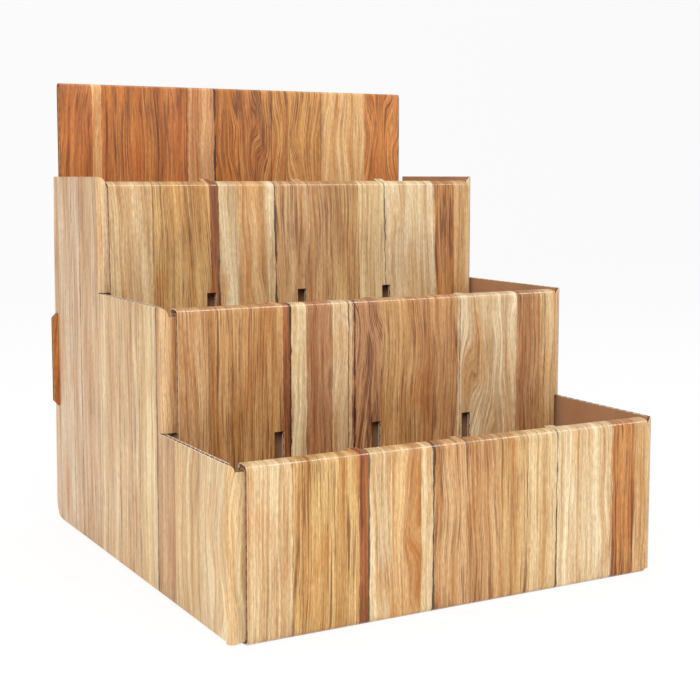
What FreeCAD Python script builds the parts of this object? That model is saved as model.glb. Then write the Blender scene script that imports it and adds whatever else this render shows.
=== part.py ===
import FreeCAD, Part
import math
import os
import Sketcher

# Three-tier counter display stand, folded from single-wall corrugated board.
# Millimetres. Places are measured from the left, the front and the floor,
# and the finished pieces are then centred on the stand's footprint.

SIZES = (
    ("board", 3.0, "thickness of the corrugated board"),
    ("fold_inside", 0.5, "inside radius of every fold"),
    ("slip", 0.3, "clearance between boards that slide past each other"),
    ("tray_width", 280.0, "across the outer faces of the side walls"),
    ("tray_depth", 295.5, "front wall to the rear edge of the side walls, at the floor"),
    ("step_1_height", 93.5, "top edge of the side walls beside the front row"),
    ("step_2_height", 164.5, "top edge of the side walls beside the middle row"),
    ("step_3_height", 237.0, "top edge of the side walls beside the rear row"),
    ("rear_edge_lean", 7.0, "how far the side walls' rear edge comes forward at its top"),
    ("rear_corner_radius", 14.0, "round rear lower corner of the side walls"),
    ("rear_corner_width", 8.0, "strip of the floor that the round corner cuts into"),
    ("well_depth", 92.0, "step top down to the shelf of its row"),
    ("flap_room", 1.7, "air between a front panel and the flap behind it"),
    ("flap_reach", 40.0, "how far a corner flap reaches inwards"),
    ("flap_foot", 0.5, "cut between a flap and the edge below it"),
    ("flap_1_drop", 4.0, "step top down to the top of the front flap"),
    ("flap_2_drop", 5.0, "step top down to the top of the middle flap"),
    ("flap_3_drop", 8.0, "step top down to the top of the rear flap"),
    ("front_inset", 8.5, "side wall face to the raw edge of the front wall"),
    ("front_drop", 0.5, "step top down to the front wall's crease"),
    ("front_roll_rise", 1.0, "rise of the front roll from crease to crease"),
    ("riser_2_front", 89.5, "front wall to the face of the middle riser"),
    ("riser_2_inset", 8.5, "side wall face to the raw edge of the middle riser"),
    ("riser_2_drop", 1.0, "step top down to the middle riser's crease"),
    ("riser_2_roll_rise", 0.7, "rise of the middle roll from crease to crease"),
    ("riser_3_front", 186.0, "front wall to the foot of the rear riser"),
    ("riser_3_setback", 8.1, "how far the rear riser's crease lies behind its foot"),
    ("riser_3_inset", 6.0, "side wall face to the raw edge of the rear riser"),
    ("riser_3_drop", 5.0, "step top down to the rear riser's crease"),
    ("riser_3_roll_rise", 3.5, "rise of the rear roll from crease to crease"),
    ("slot_width", 6.5, "width of a divider slot"),
    ("slot_pitch", 65.5, "divider slot to divider slot"),
    ("slot_length", 45.0, "height of a divider slot"),
    ("slot_1_shift", 0.0, "the front row's slots, off the middle"),
    ("slot_2_shift", -3.5, "the middle riser's slots, off the middle"),
    ("slot_3_shift", -1.0, "the rear riser's and header card's slots, off the middle"),
    ("slot_2_drop", 4.0, "front step top down to the middle riser's slots"),
    ("slot_3_drop", 2.0, "middle step top down to the rear riser's slots"),
    ("card_slot_drop", 4.0, "rear step top down to the header card's slots"),
    ("card_setback", 11.5, "rear edge of the side walls to the face of the header card"),
    ("card_height", 299.5, "height of the header card"),
    ("card_left_inset", 4.0, "left side wall face to the header card's edge"),
    ("card_right_inset", 9.0, "right side wall face to the header card's edge"),
    ("tab_low", 81.0, "floor to the lower edge of the card's side tab"),
    ("tab_high", 144.0, "floor to the upper edge of the card's side tab"),
    ("tab_proud", 3.0, "how far the tab stands out of the side wall"),
    ("tab_chamfer", 3.0, "chamfer of the tab's corners"),
)

# Places that several pieces share, as expressions over the sheet.
FOLD_OUT = "(sizes.board + sizes.fold_inside)"
FLAP_1 = "(sizes.board + sizes.flap_room)"
FLAP_2 = "(sizes.riser_2_front + sizes.board + sizes.flap_room)"
FLAP_3 = "(sizes.riser_3_front + sizes.riser_3_setback + sizes.board + 2 * sizes.slip)"
LAYERS = "(2 * sizes.board + sizes.slip)"
ROLL_1 = f"({FLAP_1} + {LAYERS})"
ROLL_2 = f"({FLAP_2} + {LAYERS})"
ROLL_3 = f"({FLAP_3} + {LAYERS})"
CREASE_1 = "(sizes.step_1_height - sizes.front_drop)"
CREASE_2 = "(sizes.step_2_height - sizes.riser_2_drop)"
CREASE_3 = "(sizes.step_3_height - sizes.riser_3_drop)"
SHELF_2 = "(sizes.step_2_height - sizes.well_depth)"
SHELF_3 = "(sizes.step_3_height - sizes.well_depth)"
CARD_FRONT = "(sizes.tray_depth - sizes.card_setback)"
CARD_SEAT = f"({CARD_FRONT} - sizes.slip)"

# How a sketch lies in space: its first and second axes run along these.
FLOOR_PLAN = FreeCAD.Rotation()
FRONT_VIEW = FreeCAD.Rotation(FreeCAD.Vector(1, 0, 0), 90)
SIDE_VIEW = FreeCAD.Rotation(FreeCAD.Vector(1, 1, 1), 120)
ALONG_X = FreeCAD.Vector(1, 0, 0)
ALONG_Y = FreeCAD.Vector(0, 1, 0)
ALONG_Z = FreeCAD.Vector(0, 0, 1)
PAST = 2.0  # how far a cutting shape runs past what it cuts
TOUCHING = 0.001  # a shorter distance than this counts as contact


def fill_sheet(doc):
    """The driving sizes, one row each, with the alias that expressions use."""
    sheet = doc.addObject("Spreadsheet::Sheet", "sizes")
    for row, (alias, value, note) in enumerate(SIZES, start=1):
        sheet.set(f"A{row}", note)
        sheet.set(f"B{row}", str(value))
        sheet.setAlias(f"B{row}", alias)
    doc.recompute()
    return sheet


def bind(thing, **expressions):
    """Bind properties to the sheet; a double underscore stands for a dot."""
    for name, expression in expressions.items():
        thing.setExpression(name.replace("__", "."), str(expression))


def value_of(doc, expression):
    return float(doc.sizes.evalExpression(str(expression)))


def draw_path(doc, name, view, corners, closed=False, at=None):
    """A sketch of straight legs between corners. Each corner is (across, up)
    or (across, up, radius), all expressions; a radius makes a round corner."""
    sketch = doc.addObject("Sketcher::SketchObject", name)
    sketch.Placement.Rotation = view
    for axis, expression in (at or {}).items():
        sketch.setExpression(f"Placement.Base.{axis}", str(expression))
    spots = [FreeCAD.Vector(value_of(doc, c[0]), value_of(doc, c[1]), 0) for c in corners]
    count = len(spots)
    turns = [None] * count
    for i, corner in enumerate(corners):
        if len(corner) == 3:
            before, spot, after = spots[i - 1], spots[i], spots[(i + 1) % count]
            turns[i] = round_corner(before, spot, after, value_of(doc, corner[2]))

    marks = []
    for spot, corner in zip(spots, corners):
        mark = sketch.addGeometry(Part.Point(spot), True)
        marks.append(mark)
        for kind, expression in (("DistanceX", corner[0]), ("DistanceY", corner[1])):
            distance = spot.x if kind == "DistanceX" else spot.y
            index = sketch.addConstraint(Sketcher.Constraint(kind, -1, 1, mark, 1, distance))
            sketch.setExpression(f"Constraints[{index}]", str(expression))

    legs = []
    for i in range(count if closed else count - 1):
        j = (i + 1) % count
        start = turns[i]["leaves"] if turns[i] else spots[i]
        end = turns[j]["meets"] if turns[j] else spots[j]
        leg = sketch.addGeometry(Part.LineSegment(start, end), False)
        legs.append(leg)
        for spot_index, position in ((i, 1), (j, 2)):
            if turns[spot_index]:
                rule = Sketcher.Constraint("PointOnObject", marks[spot_index], 1, leg)
            else:
                rule = Sketcher.Constraint("Coincident", leg, position, marks[spot_index], 1)
            sketch.addConstraint(rule)

    for i, turn in enumerate(turns):
        if not turn:
            continue
        arc = sketch.addGeometry(turn["arc"], False)
        first, last = (1, 2) if turn["left"] else (2, 1)
        sketch.addConstraint(Sketcher.Constraint("Tangent", legs[i - 1], 2, arc, first))
        sketch.addConstraint(Sketcher.Constraint("Tangent", legs[i], 1, arc, last))
        radius = value_of(doc, corners[i][2])
        index = sketch.addConstraint(Sketcher.Constraint("Radius", arc, radius))
        sketch.setExpression(f"Constraints[{index}]", str(corners[i][2]))
    return sketch


def round_corner(before, spot, after, radius):
    """The arc that rounds a corner, and where the legs beside it stop."""
    towards = (spot - before).normalize()
    away = (after - spot).normalize()
    cross = towards.x * away.y - towards.y * away.x
    angle = math.acos(max(-1.0, min(1.0, towards.dot(away))))
    reach = radius * math.tan(angle / 2)
    meets = spot - towards * reach
    leaves = spot + away * reach
    side = 1 if cross > 0 else -1
    centre = meets + FreeCAD.Vector(-towards.y, towards.x, 0) * radius * side
    start, end = (meets, leaves) if side > 0 else (leaves, meets)
    angles = [math.atan2(p.y - centre.y, p.x - centre.x) for p in (start, end)]
    circle = Part.Circle(centre, FreeCAD.Vector(0, 0, 1), radius)
    arc = Part.ArcOfCircle(circle, angles[0], angles[1])
    return {"arc": arc, "meets": meets, "leaves": leaves, "left": side > 0}


def board_section(doc, name, path):
    """The board's cut section: the path is its printed face, and the board's
    thickness lies on the path's right-hand side."""
    section = doc.addObject("Part::Offset2D", name)
    section.Source = path
    section.Mode = "Skin"
    section.Join = "Arc"
    section.Fill = True
    section.setExpression("Value", "sizes.board")
    doc.recompute()
    leg = next(g for g in path.Geometry if isinstance(g, Part.LineSegment))
    ahead = (leg.EndPoint - leg.StartPoint).normalize()
    right = FreeCAD.Vector(ahead.y, -ahead.x, 0) * (value_of(doc, "sizes.board") / 2)
    probe = path.Placement.multVec((leg.StartPoint + leg.EndPoint) / 2 + right)
    if section.Shape.distToShape(Part.Vertex(probe))[0] > TOUCHING:
        section.setExpression("Value", "-sizes.board")
    return section


def prism(doc, name, section, direction, length):
    solid = doc.addObject("Part::Extrusion", name)
    solid.Base = section
    solid.DirMode = "Custom"
    solid.Dir = direction
    solid.Solid = True
    solid.setExpression("LengthFwd", str(length))
    return solid


def box(doc, name, low, size):
    """A box given by its low corner and its size, as expressions."""
    solid = doc.addObject("Part::Box", name)
    bind(solid, Length=size[0], Width=size[1], Height=size[2])
    bind(solid, Placement__Base__x=low[0], Placement__Base__y=low[1], Placement__Base__z=low[2])
    return solid


def fuse(doc, name, pieces):
    whole = doc.addObject("Part::MultiFuse", name)
    whole.Shapes = pieces
    whole.Refine = True
    return whole


def cut(doc, name, base, tools):
    tool = tools[0]
    if len(tools) > 1:
        tool = doc.addObject("Part::MultiFuse", name + "_tools")
        tool.Shapes = tools
    rest = doc.addObject("Part::Cut", name)
    rest.Base = base
    rest.Tool = tool
    rest.Refine = True
    return rest


def mirrored(doc, name, source):
    """The same shape on the other side of the stand's middle plane."""
    twin = doc.addObject("Part::Mirroring", name)
    twin.Source = source
    twin.Normal = ALONG_X
    twin.setExpression("Base.x", "sizes.tray_width / 2")
    return twin


def finish(piece, label):
    """Name the piece and centre it on the stand's footprint."""
    piece.Label = label
    bind(piece, Placement__Base__x="-sizes.tray_width / 2")
    bind(piece, Placement__Base__y="-sizes.tray_depth / 2")
    return piece


def slot_left(row, index):
    """The left edge of one of a row's three divider slots."""
    middle = f"sizes.tray_width / 2 + sizes.slot_{row}_shift"
    return f"({middle} + {index - 1} * sizes.slot_pitch - sizes.slot_width / 2)"


def rolled_slots(doc, name, wall, row, front, crease, rise):
    """Divider slots down the inner layer of a rolled wall. Each starts at the
    rear crease, where the strip between its sides stays flat as a raised lip."""
    rear = {1: ROLL_1, 2: ROLL_2, 3: ROLL_3}[row]
    high = f"({crease} + {rise})"
    depth = f"({FOLD_OUT} + sizes.slip)"
    slots, lips = [], []
    for i in range(3):
        left = slot_left(row, i)
        low = (left, f"{rear} - {depth}", f"{crease} - sizes.slot_length")
        size = ("sizes.slot_width", f"{depth} + {PAST}", f"sizes.slot_length + {rise} + {PAST}")
        slots.append(box(doc, f"{name}_slot_{i + 1}", low, size))
        lip_front = f"({rear} - {depth} - sizes.slip)"
        lip_high = f"({high} - {rise} * ({rear} - {lip_front}) / ({rear} - {front}))"
        outline = draw_path(
            doc,
            f"{name}_lip_outline_{i + 1}",
            SIDE_VIEW,
            [
                (lip_front, lip_high),
                (lip_front, f"{lip_high} - sizes.board"),
                (rear, f"{high} - sizes.board"),
                (rear, high),
            ],
            closed=True,
            at={"x": left},
        )
        lips.append(prism(doc, f"{name}_lip_{i + 1}", outline, ALONG_X, "sizes.slot_width"))
    slotted = cut(doc, name + "_slotted", wall, slots)
    return fuse(doc, name + "_lipped", [slotted] + lips)


def side_flap(doc, name, face, low, top, drop, inset):
    """A corner flap of the left side wall: the wall's front edge folds inwards,
    and the flap's top edge drops from the wall's in a round shoulder that stays
    clear of the raw edge of the panel in front."""
    radius = f"min({drop}; {inset} - sizes.slip)"
    path = draw_path(
        doc,
        name + "_path",
        FLOOR_PLAN,
        [
            ("sizes.flap_reach", face),
            (0, face, FOLD_OUT),
            (0, f"{face} + {FOLD_OUT} + {PAST}"),
        ],
        at={"z": low},
    )
    section = board_section(doc, name + "_section", path)
    flap = prism(doc, name + "_flap", section, ALONG_Z, f"{top} - {low}")
    above = box(
        doc,
        name + "_above",
        (0, f"{face} - {PAST}", f"{top} - {drop}"),
        (f"sizes.flap_reach + {PAST}", f"{FOLD_OUT} + {PAST}", f"{drop} + {PAST}"),
    )
    shoulder = doc.addObject("Part::Cylinder", name + "_shoulder")
    shoulder.Placement.Rotation = FreeCAD.Rotation(ALONG_X, -90)
    bind(shoulder, Radius=radius, Height=f"{FOLD_OUT} + 2 * {PAST}")
    bind(shoulder, Placement__Base__y=f"{face} - {PAST}", Placement__Base__z=f"{top} - {radius}")
    post = box(
        doc,
        name + "_post",
        (0, f"{face} - {PAST}", f"{top} - {drop} - {PAST}"),
        (radius, f"{FOLD_OUT} + 2 * {PAST}", f"{drop} - {radius} + {PAST}"),
    )
    notch = cut(doc, name + "_notch", above, [shoulder, post])
    return cut(doc, name, flap, [notch])


def wall_channel(doc):
    """Both side walls and the floor: one strip folded up along both sides,
    then cut to the stepped outline."""
    front = f"({FLAP_1} + {FOLD_OUT})"
    path = draw_path(
        doc,
        "channel_path",
        FRONT_VIEW,
        [
            ("sizes.tray_width", "sizes.step_3_height"),
            ("sizes.tray_width", 0, FOLD_OUT),
            (0, 0, FOLD_OUT),
            (0, "sizes.step_3_height"),
        ],
        at={"y": front},
    )
    section = board_section(doc, "channel_section", path)
    channel = prism(doc, "channel", section, ALONG_Y, f"sizes.tray_depth - {front}")

    step_2 = f"({FLAP_2} + {FOLD_OUT})"
    step_3 = f"({FLAP_3} + {FOLD_OUT})"
    over = f"(sizes.step_3_height + {PAST})"
    behind = f"(sizes.tray_depth + {PAST})"
    steps = draw_path(
        doc,
        "steps_outline",
        SIDE_VIEW,
        [
            (0, "sizes.step_1_height"),
            (step_2, "sizes.step_1_height"),
            (step_2, "sizes.step_2_height"),
            (step_3, "sizes.step_2_height"),
            (step_3, over),
            (0, over),
        ],
        closed=True,
        at={"x": -PAST},
    )
    step_cut = prism(doc, "step_cut", steps, ALONG_X, f"sizes.tray_width + 2 * {PAST}")
    rear = draw_path(
        doc,
        "rear_outline",
        SIDE_VIEW,
        [
            ("sizes.tray_depth - 2 * sizes.rear_corner_radius", -PAST),
            ("sizes.tray_depth - 2 * sizes.rear_corner_radius", 0),
            ("sizes.tray_depth", 0, "sizes.rear_corner_radius"),
            ("sizes.tray_depth - sizes.rear_edge_lean", "sizes.step_3_height"),
            ("sizes.tray_depth - sizes.rear_edge_lean", over),
            (behind, over),
            (behind, -PAST),
        ],
        closed=True,
        at={"x": -PAST},
    )
    rear_cut = prism(doc, "rear_cut", rear, ALONG_X, f"sizes.rear_corner_width + {PAST}")
    floor_end_left = "(sizes.card_left_inset - sizes.slip)"
    floor_end = box(
        doc,
        "floor_end",
        (floor_end_left, CARD_SEAT, -PAST),
        (
            f"sizes.tray_width - 2 * {floor_end_left}",
            f"{behind} - {CARD_SEAT}",
            f"sizes.board + {PAST}",
        ),
    )
    tools = [step_cut, rear_cut, mirrored(doc, "rear_cut_right", rear_cut), floor_end]
    return cut(doc, "stepped_channel", channel, tools)


def front_wall(doc):
    """The floor's front end, the front panel, its rolled top and the inner layer."""
    path = draw_path(
        doc,
        "front_path",
        SIDE_VIEW,
        [
            (f"{ROLL_1} + {FOLD_OUT}", 0),
            (0, 0, FOLD_OUT),
            (0, CREASE_1, FOLD_OUT),
            (ROLL_1, f"{CREASE_1} + sizes.front_roll_rise", FOLD_OUT),
            (ROLL_1, "sizes.board + sizes.slip"),
        ],
        at={"x": "sizes.front_inset"},
    )
    section = board_section(doc, "front_section", path)
    wall = prism(doc, "front_wall", section, ALONG_X, "sizes.tray_width - 2 * sizes.front_inset")
    return rolled_slots(doc, "front_roll", wall, 1, "0", CREASE_1, "sizes.front_roll_rise")


def build_tray(doc):
    """The lower tray, one folded blank."""
    pieces = [wall_channel(doc), front_wall(doc)]
    flap_1 = side_flap(
        doc,
        "flap_1",
        face=FLAP_1,
        low="sizes.flap_foot",
        top="sizes.step_1_height",
        drop="sizes.flap_1_drop",
        inset="sizes.front_inset",
    )
    flap_2 = side_flap(
        doc,
        "flap_2",
        face=FLAP_2,
        low="(sizes.step_1_height + sizes.flap_foot)",
        top="sizes.step_2_height",
        drop="sizes.flap_2_drop",
        inset="sizes.riser_2_inset",
    )
    flap_3 = side_flap(
        doc,
        "flap_3",
        face=FLAP_3,
        low="(sizes.step_2_height + sizes.flap_foot)",
        top="sizes.step_3_height",
        drop="sizes.flap_3_drop",
        inset="sizes.riser_3_inset",
    )
    heel = box(
        doc,
        "flap_1_heel",
        ("sizes.front_inset - sizes.slip", 0, -PAST),
        ("sizes.flap_reach", "sizes.tray_depth / 2", f"sizes.board + sizes.slip + {PAST}"),
    )
    for flap in (cut(doc, "flap_1_footed", flap_1, [heel]), flap_2, flap_3):
        pieces += [flap, mirrored(doc, flap.Name + "_right", flap)]
    whole = fuse(doc, "tray_blank", pieces)
    tab_slot = box(
        doc,
        "tab_slot",
        (-PAST, CARD_SEAT, "sizes.tab_low - sizes.slip"),
        (
            f"sizes.board + 2 * {PAST}",
            f"{LAYERS} + 2 * sizes.slip",
            "sizes.tab_high - sizes.tab_low + 2 * sizes.slip",
        ),
    )
    tray = cut(doc, "tray", whole, [tab_slot, mirrored(doc, "tab_slot_right", tab_slot)])
    return finish(tray, "tray")


def panel_slots(doc, name, row, front, depth, top):
    """Closed divider slots through a riser's front panel or the header card."""
    slots = []
    for i in range(3):
        low = (slot_left(row, i), front, f"{top} - sizes.slot_length")
        size = ("sizes.slot_width", depth, "sizes.slot_length")
        slots.append(box(doc, f"{name}_{i + 1}", low, size))
    return slots


def riser(doc, row, foot, crease, rise, roll, shelf, leg):
    """A riser, one folded blank: front panel, rolled top, inner layer, shelf and
    rear leg. Both feet stand on the tray's floor."""
    inset = f"sizes.riser_{row}_inset"
    path = draw_path(
        doc,
        f"riser_{row}_path",
        SIDE_VIEW,
        [
            foot,
            (*crease, FOLD_OUT),
            (roll, f"{crease[1]} + {rise}", FOLD_OUT),
            (roll, shelf, "sizes.fold_inside"),
            (leg, shelf, FOLD_OUT),
            (leg, "sizes.board"),
        ],
        at={"x": inset},
    )
    section = board_section(doc, f"riser_{row}_section", path)
    wall = prism(doc, f"riser_{row}_wall", section, ALONG_X, f"sizes.tray_width - 2 * {inset}")
    return rolled_slots(doc, f"riser_{row}_roll", wall, row, *crease, rise)


def build_riser_2(doc):
    rolled = riser(
        doc,
        row=2,
        foot=("sizes.riser_2_front", "sizes.board"),
        crease=("sizes.riser_2_front", CREASE_2),
        rise="sizes.riser_2_roll_rise",
        roll=ROLL_2,
        shelf=SHELF_2,
        leg="sizes.riser_3_front - sizes.slip",
    )
    top = "(sizes.step_1_height - sizes.slot_2_drop)"
    front = f"sizes.riser_2_front - {PAST}"
    depth = f"sizes.board + 1.5 * {PAST}"
    slots = panel_slots(doc, "riser_2_slot", 2, front, depth, top)
    return finish(cut(doc, "tier_2_riser", rolled, slots), "tier_2_riser")


def build_riser_3(doc):
    crease_at = "(sizes.riser_3_front + sizes.riser_3_setback)"
    foot_slope = f"sizes.riser_3_setback / ({CREASE_3} - 2 * sizes.board)"
    rolled = riser(
        doc,
        row=3,
        foot=("sizes.riser_3_front", f"sizes.board * (1 + {foot_slope})"),
        crease=(crease_at, CREASE_3),
        rise="sizes.riser_3_roll_rise",
        roll=ROLL_3,
        shelf=SHELF_3,
        leg=CARD_SEAT,
    )
    top = "(sizes.step_2_height - sizes.slot_3_drop)"
    front = f"sizes.riser_3_front - {PAST}"
    depth = f"{FLAP_3} - sizes.riser_3_front + 1.5 * {PAST}"
    slots = panel_slots(doc, "riser_3_slot", 3, front, depth, top)
    return finish(cut(doc, "tier_3_riser", rolled, slots), "tier_3_riser")


def card_tab(doc, name, root, tip, inwards, front):
    """One layer of a side tab, from inside the card out through the side wall."""
    low, high = "sizes.tab_low", "sizes.tab_high"
    overlap = f"{root} + {inwards * PAST}"
    shoulder = f"{tip} + {inwards} * sizes.tab_chamfer"
    outline = draw_path(
        doc,
        name + "_outline",
        FRONT_VIEW,
        [
            (overlap, low),
            (shoulder, low),
            (tip, f"{low} + sizes.tab_chamfer"),
            (tip, f"{high} - sizes.tab_chamfer"),
            (shoulder, high),
            (overlap, high),
        ],
        closed=True,
        at={"y": f"{front} + sizes.board"},
    )
    return prism(doc, name, outline, -ALONG_Y, "sizes.board")


def build_header_card(doc):
    """The rear card that stands above the rear row: one blank folded over at the
    top into two layers, with a tab of both layers through each side wall."""
    rear = f"({CARD_FRONT} + {LAYERS})"
    bend = "(sizes.board + sizes.slip / 3)"
    left, right = "sizes.card_left_inset", "(sizes.tray_width - sizes.card_right_inset)"
    path = draw_path(
        doc,
        "card_path",
        SIDE_VIEW,
        [
            (CARD_FRONT, 0),
            (CARD_FRONT, "sizes.card_height", bend),
            (rear, "sizes.card_height", bend),
            (rear, 0),
        ],
        at={"x": left},
    )
    section = board_section(doc, "card_section", path)
    pieces = [prism(doc, "card_blank", section, ALONG_X, f"{right} - {left}")]
    tabs = (
        ("left", left, "-sizes.tab_proud", 1),
        ("right", right, "(sizes.tray_width + sizes.tab_proud)", -1),
    )
    for layer, front in (("front", CARD_FRONT), ("rear", f"({rear} - sizes.board)")):
        for side, root, tip, inwards in tabs:
            name = f"card_{layer}_{side}_tab"
            pieces.append(card_tab(doc, name, root, tip, inwards, front))
    card = fuse(doc, "card_with_tabs", pieces)
    top = "(sizes.step_3_height - sizes.card_slot_drop)"
    depth = f"{LAYERS} + 2 * {PAST}"
    slots = panel_slots(doc, "card_slot", 3, f"{CARD_FRONT} - {PAST}", depth, top)
    return finish(cut(doc, "header_card", card, slots), "header_card")


def check(doc, pieces):
    """Stop on any object that failed, and on any piece that is not one solid."""
    for thing in doc.Objects:
        if "Invalid" in thing.State or "Error" in thing.State:
            raise RuntimeError(f"{thing.Name} failed: {thing.State}")
    for piece in pieces:
        shape = piece.Shape
        if shape.isNull() or not shape.isValid() or len(shape.Solids) != 1:
            raise RuntimeError(f"{piece.Label} is not one valid solid")


def main():
    doc = FreeCAD.newDocument("display_stand")
    fill_sheet(doc)
    pieces = [build_tray(doc), build_riser_2(doc), build_riser_3(doc), build_header_card(doc)]
    doc.recompute()
    check(doc, pieces)
    os.makedirs("parts", exist_ok=True)
    for piece in pieces:
        piece.Shape.exportStep(os.path.join("parts", piece.Label + ".step"))
        bounds = piece.Shape.BoundBox
        print(piece.Label, round(piece.Shape.Volume), bounds)


main()
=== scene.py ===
import math
from collections import namedtuple
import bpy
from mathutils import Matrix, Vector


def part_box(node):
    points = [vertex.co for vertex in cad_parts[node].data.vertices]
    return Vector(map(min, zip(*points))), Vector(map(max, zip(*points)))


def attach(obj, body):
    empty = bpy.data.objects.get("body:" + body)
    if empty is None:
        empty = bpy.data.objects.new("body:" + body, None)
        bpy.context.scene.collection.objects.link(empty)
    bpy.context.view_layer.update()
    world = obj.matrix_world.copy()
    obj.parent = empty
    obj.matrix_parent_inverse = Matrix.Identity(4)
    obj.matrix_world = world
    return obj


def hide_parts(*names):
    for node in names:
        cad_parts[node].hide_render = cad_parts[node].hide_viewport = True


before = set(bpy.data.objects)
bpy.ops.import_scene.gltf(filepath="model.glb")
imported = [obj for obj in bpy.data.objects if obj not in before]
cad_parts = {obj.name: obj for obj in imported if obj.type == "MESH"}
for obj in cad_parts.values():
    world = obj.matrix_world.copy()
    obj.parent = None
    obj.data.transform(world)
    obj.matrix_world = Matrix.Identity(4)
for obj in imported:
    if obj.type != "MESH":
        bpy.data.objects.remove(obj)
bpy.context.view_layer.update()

from types import SimpleNamespace

import bmesh
import bpy
from mathutils import Vector

# A three-tier counter display stand folded from printed corrugated board.
# Board is built as it is made: a printed liner, a fluted medium and a kraft
# liner. Layout is in millimetres from the left side wall, the front and the
# surface that the stand rests on, as the CAD is; meshes are in metres.

bl_info = {
    "name": "Corrugated Counter Display",
    "version": (1, 0, 0),
    "blender": (4, 5, 0),
    "location": "3D View > Sidebar > Display Stand",
    "description": "Builds a stepped counter display stand from fluted board with a plank print",
    "category": "Object",
}

MM = 0.001
SLOT_COLUMNS = (-1, 0, 1)

# A fold has an odd number of pieces at least, so that one lies along its crest.
ARC_PIECES = 7
# Faces within this share of a fold's middle form its crest and take the crease finish: cracked print with
# a painted highlight.
CREST_SHARE = 0.1

# The longest piece of a straight leg, in mm.
LEG_STEP = 30.0

tray_low, tray_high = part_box("tray")
riser_2_low, riser_2_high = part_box("tier_2_riser")
riser_3_low, riser_3_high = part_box("tier_3_riser")
header_low, header_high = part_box("header_card")


def across_mm(value):
    return (value - tray_low.x) / MM


def back_mm(value):
    return (value - tray_low.y) / MM


def up_mm(value):
    return (value - tray_low.z) / MM


def length(name, millimetres, description):
    return bpy.props.FloatProperty(
        name=name, default=millimetres * MM, min=0.0, unit="LENGTH", description=description,
    )


def linear(hex_code):
    """An sRGB hex colour as linear RGBA."""
    values = [int(hex_code[i:i + 2], 16) / 255 for i in (1, 3, 5)]
    rgb = [v / 12.92 if v <= 0.04045 else ((v + 0.055) / 1.055) ** 2.4 for v in values]
    return (*rgb, 1.0)


def colour(name, hex_code, description):
    return bpy.props.FloatVectorProperty(
        name=name, default=linear(hex_code), size=4, min=0.0, max=1.0, subtype="COLOR",
        description=description,
    )


class StandSizes(bpy.types.PropertyGroup):
    """Sizes of the board and its folds, given in millimetres and kept in metres."""

    board: length("Board", 3.0, "Thickness of the board")
    liner: length("Liner", 0.42, "Thickness of each liner, drawn a little heavy so that it shows")
    medium: length("Medium", 0.34, "Thickness of the fluted medium, drawn a little heavy too")
    flute: length("Flute", 6.4, "Flute to flute")
    fold: length("Fold", 0.5, "Inside radius of a fold")
    slip: length("Slip", 0.3, "Clearance between boards that slide past each other")
    flap_room: length("Flap room", 1.7, "Air between a front panel and the flap behind it")
    flap_reach: length("Flap reach", 40.0, "How far a corner flap reaches inwards")
    flap_foot: length("Flap foot", 0.5, "Cut between a flap and the edge below it")
    step_1: length("First step", 93.5, "Top edge of the side walls beside the front row")
    step_2: length("Second step", 164.5, "Top edge of the side walls beside the middle row")
    depth: length("Depth", 295.5, "Front to the foot of the side walls' rear edge")
    drop_1: length("First drop", 4.0, "Side wall's top edge down to the front flap's")
    drop_2: length("Second drop", 5.0, "Side wall's top edge down to the middle flap's")
    drop_3: length("Third drop", 8.0, "Side wall's top edge down to the rear flap's")
    shoulder: length("Shoulder", 5.7, "Largest round where a side wall's top edge drops")
    inset: length("Front inset", 8.5, "Side wall face to the raw edge of the front wall")
    front_crease: length("Front crease", 93.0, "Floor to the front wall's crease")
    front_rise: length("Front rise", 1.0, "Rise of the front roll from crease to crease")
    riser_2_rise: length("Middle rise", 0.7, "Rise of the middle roll")
    riser_3_rise: length("Rear rise", 3.5, "Rise of the rear roll")
    riser_3_setback: length("Setback", 8.1, "How far the rear riser's crease lies behind its foot")
    well: length("Well", 92.0, "Step top down to the shelf of its row")
    slot_width: length("Slot width", 6.5, "Width of a divider slot")
    slot_pitch: length("Slot pitch", 65.5, "Divider slot to divider slot")
    slot_length: length("Slot length", 45.0, "Height of a divider slot")
    slot_drop: length("Slot drop", 4.0, "Step top down to the slot in the panel behind it")
    slot_drop_3: length("Rear slot drop", 2.0, "The same for the rear riser's panel")
    middle_shift: length("Middle slot shift", 3.5, "How far left the middle riser's slots lie")
    rear_shift: length("Rear slot shift", 1.0, "How far left the rear slots lie")
    rear_radius: length("Rear corner", 14.0, "Round rear lower corner of the side walls")
    rear_lean: length("Rear lean", 7.0, "How far the rear edge comes forward at its top")
    tab_low: length("Tab low", 81.0, "Floor to the lower edge of the side tab")
    tab_high: length("Tab high", 144.0, "Floor to the upper edge of the side tab")
    tab_chamfer: length("Tab chamfer", 3.0, "Chamfer of the tab's corners")
    card_left: length("Card left", 4.0, "Left side wall to the header card's edge")
    card_right: length("Card right", 9.0, "Right side wall to the header card's edge")


class StandColours(bpy.types.PropertyGroup):
    """Colours of the inks and papers."""

    kraft: colour("Kraft liner", "#B58762", "Unprinted inside of the board")
    medium: colour("Fluted medium", "#8C6543", "Recycled paper of the flutes")
    # The cut liner's colour is also what crease faces are paled towards, for cracks in the print and a
    # painted highlight.
    torn: colour("Cut liner", "#E9DCC8", "White-topped liner where it is cut or torn")
    joint: colour("Plank joint", "#24150C", "Dark line between two printed planks")
    streak: colour("Grain streak", "#65371A", "Dark grain lines of the plank print")
    heart: colour("Heartwood", "#C6A06E", "What the plank tones are darkened with along the grain")
    flame: colour("Flame", "#EDC084", "What the plank tones are warmed with in patches")
    pale: colour("Sapwood", "#F7E6C4", "Palest tone of the plank print")
    floor: colour("Floor", "#F6F6F6", "Studio floor")


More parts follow.
